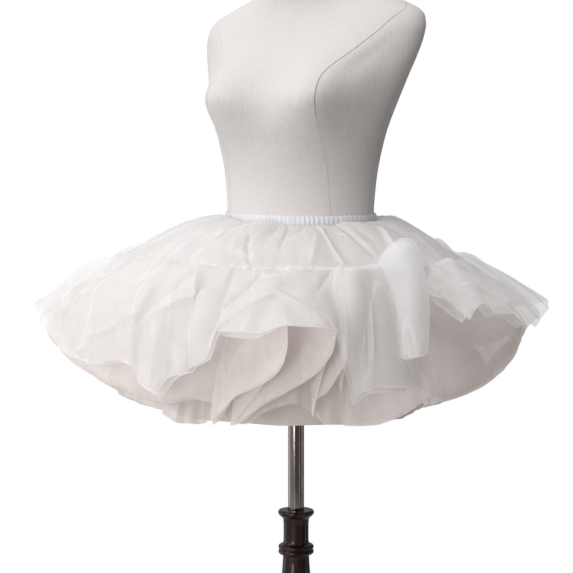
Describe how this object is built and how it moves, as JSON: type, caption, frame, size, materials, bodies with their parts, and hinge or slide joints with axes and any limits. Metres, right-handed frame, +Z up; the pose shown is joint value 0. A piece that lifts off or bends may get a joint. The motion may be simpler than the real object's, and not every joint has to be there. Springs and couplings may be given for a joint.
{
  "type": "tulle skirt on a dress form with a stand",
  "caption": "Short white organza petticoat with an elastic casing, a gathered yoke, layered ruffles and a lining, on a limbless linen dress form with a steel pole and a turned dark wood stand.",
  "frame": {"origin": "middle of the stand base's flat underside, on the pole's axis", "axes": "+Z up along the pole; the dress form faces -Y and its left side is towards +X"},
  "size_m": [0.7584, 0.7098, 1.4876],
  "materials": {
    "organza": "sheer white organza with a soft sheen",
    "lining_cloth": "matt greyish white lining cloth",
    "form_linen": "off-white slubbed linen cover, stretched over the form",
    "pole_steel": "polished steel",
    "stand_wood": "turned wood with a dark polished stain"
  },
  "bodies": {
    "root": {"stand_base": "stand_wood", "stand_column": "stand_wood", "stand_pole": "pole_steel", "form_body": "form_linen", "waistband": "organza", "lining": "lining_cloth", "inner_ruffle": "organza", "middle_ruffle": "organza", "yoke": "organza", "outer_ruffle": "organza"}
  },
  "joints": []
}
